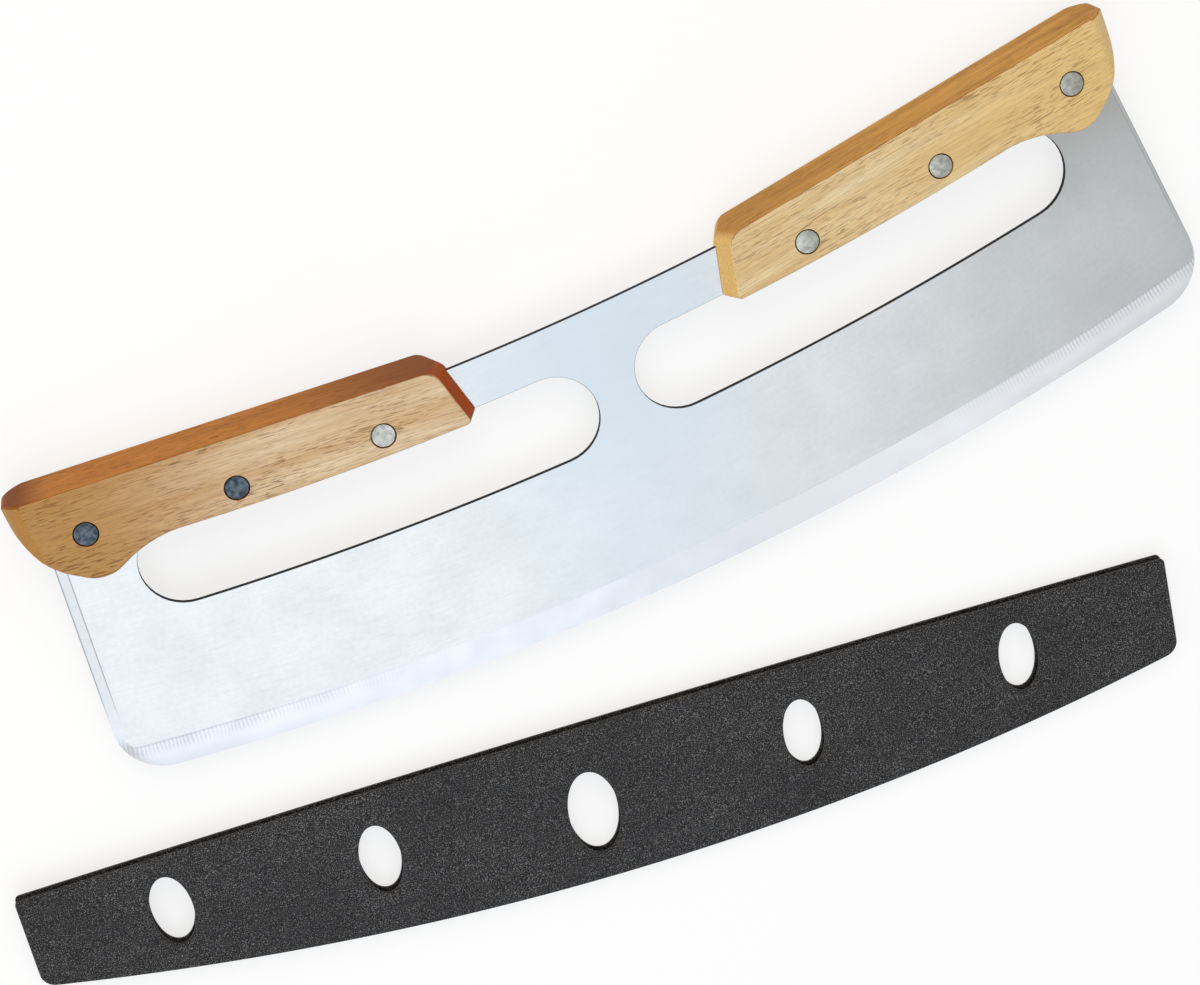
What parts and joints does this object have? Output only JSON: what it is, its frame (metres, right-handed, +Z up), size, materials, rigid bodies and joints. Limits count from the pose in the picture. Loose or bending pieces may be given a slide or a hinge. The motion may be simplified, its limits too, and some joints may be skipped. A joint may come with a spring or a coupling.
{
  "type": "pizza rocker knife",
  "caption": "Pizza rocker knife lying flat: curved steel blade with finger slots, riveted wooden handles, and its slim black edge sheath taken off in front of it.",
  "frame": {"origin": "middle of the assembly's footprint, on the table", "axes": "+X along the blade; +Y from the cutting edge to the handles; +Z up, out of the blade's upper face"},
  "size_m": [0.4072, 0.2072, 0.0215],
  "materials": {
    "blade_steel": "satin brushed, with a ground band along the edge",
    "rivet_steel": "turned and polished",
    "wood": "oiled rubberwood",
    "plastic": "fine-grained moulding"
  },
  "bodies": {
    "knife": {"blade": "blade_steel", "left_handle": "wood", "right_handle": "wood", "left_inner_rivet_barrel": "rivet_steel", "left_inner_rivet_shank": "rivet_steel", "left_middle_rivet_barrel": "rivet_steel", "left_middle_rivet_shank": "rivet_steel", "left_outer_rivet_barrel": "rivet_steel", "left_outer_rivet_shank": "rivet_steel", "right_inner_rivet_barrel": "rivet_steel", "right_inner_rivet_shank": "rivet_steel", "right_middle_rivet_barrel": "rivet_steel", "right_middle_rivet_shank": "rivet_steel", "right_outer_rivet_barrel": "rivet_steel", "right_outer_rivet_shank": "rivet_steel"},
    "sheath": {"sheath": "plastic"}
  },
  "joints": [
    {"name": "sheath_swing", "type": "hinge", "parent": "knife", "child": "sheath", "pos_m": [-0.48119, 0.27834, 0.01936], "axis": [0, -0.0447, 0.999], "range_deg": [0, 9.14]}
  ]
}
